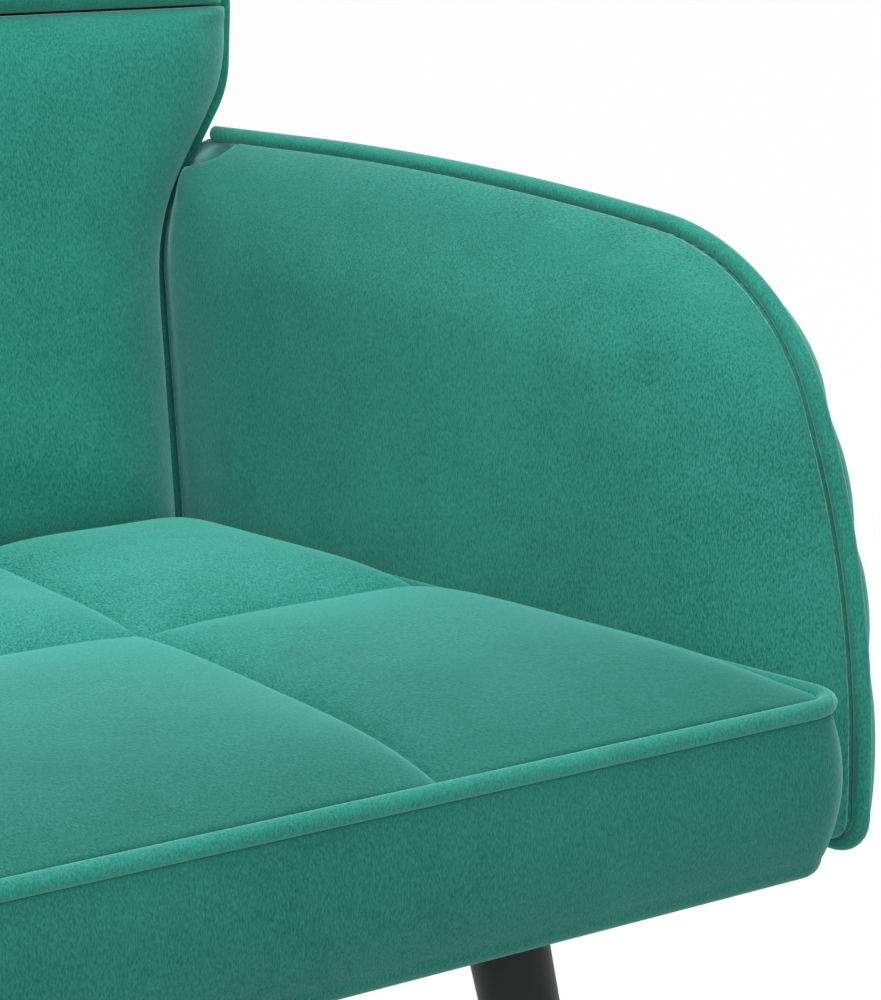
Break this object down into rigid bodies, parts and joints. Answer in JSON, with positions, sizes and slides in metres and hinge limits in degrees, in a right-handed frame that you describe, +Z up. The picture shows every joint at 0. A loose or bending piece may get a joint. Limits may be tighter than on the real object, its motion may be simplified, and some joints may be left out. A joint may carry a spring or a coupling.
{
  "type": "two-seater sofa",
  "caption": "Compact upholstered sofa in green velvet with piped edges, a quilted seat, channelled flared arms, a winged back and splayed black steel legs, for seating people side by side.",
  "frame": {"origin": "on the floor, under the middle of the sofa's box", "axes": "+X across the seat to the right as seen from the front, +Y from the front to the back, +Z up"},
  "size_m": [1.1232, 0.6501, 0.921],
  "materials": {
    "velvet": "short-pile velvet",
    "velvet_piping": "velvet cut on the bias round a welt cord",
    "webbing": "woven elastic webbing",
    "dust_cover": "non-woven cloth",
    "foam": "cut polyurethane foam",
    "timber": "planed pine",
    "plywood": "raw plywood",
    "black_steel": "satin black powder coat",
    "glide_plastic": "moulded black plastic",
    "hardware": "zinc plated"
  },
  "bodies": {
    "root": {"arm_board_left": "plywood", "arm_board_right": "plywood", "arm_bolts": "hardware", "arm_bottom_rail_left": "timber", "arm_bottom_rail_right": "timber", "arm_dust_strip_left": "dust_cover", "arm_dust_strip_right": "dust_cover", "arm_inner_pad_left": "velvet", "arm_inner_pad_right": "velvet", "arm_insert_nuts": "hardware", "arm_outer_pad_left": "velvet", "arm_outer_pad_right": "velvet", "arm_piping_left": "velvet_piping", "arm_piping_right": "velvet_piping", "arm_rear_block_left": "timber", "arm_rear_block_right": "timber", "arm_rear_cover_left": "velvet", "arm_rear_cover_right": "velvet", "arm_screws": "hardware", "back_bolts": "hardware", "back_bottom_rail": "timber", "back_insert_nuts": "hardware", "back_lower_pad": "velvet", "back_middle_rail": "timber", "back_piping": "velvet_piping", "back_rear_cover": "velvet", "back_stile_left": "plywood", "back_stile_right": "plywood", "back_top_rail": "timber", "back_upper_pad": "velvet", "back_webbing": "webbing", "corner_blocks": "timber", "dust_cover": "dust_cover", "foot_glides": "glide_plastic", "frame_dowels": "timber", "leg_blocks": "timber", "leg_front_left": "black_steel", "leg_front_right": "black_steel", "leg_rear_left": "black_steel", "leg_rear_right": "black_steel", "leg_screws": "hardware", "seat_border": "velvet", "seat_centre_rail": "timber", "seat_foam": "foam", "seat_front_rail": "timber", "seat_piping": "velvet_piping", "seat_quilted_top": "velvet", "seat_rear_rail": "timber", "seat_side_rail_left": "timber", "seat_side_rail_right": "timber", "seat_webbing_crosswise": "webbing", "seat_webbing_lengthwise": "webbing"}
  },
  "joints": []
}
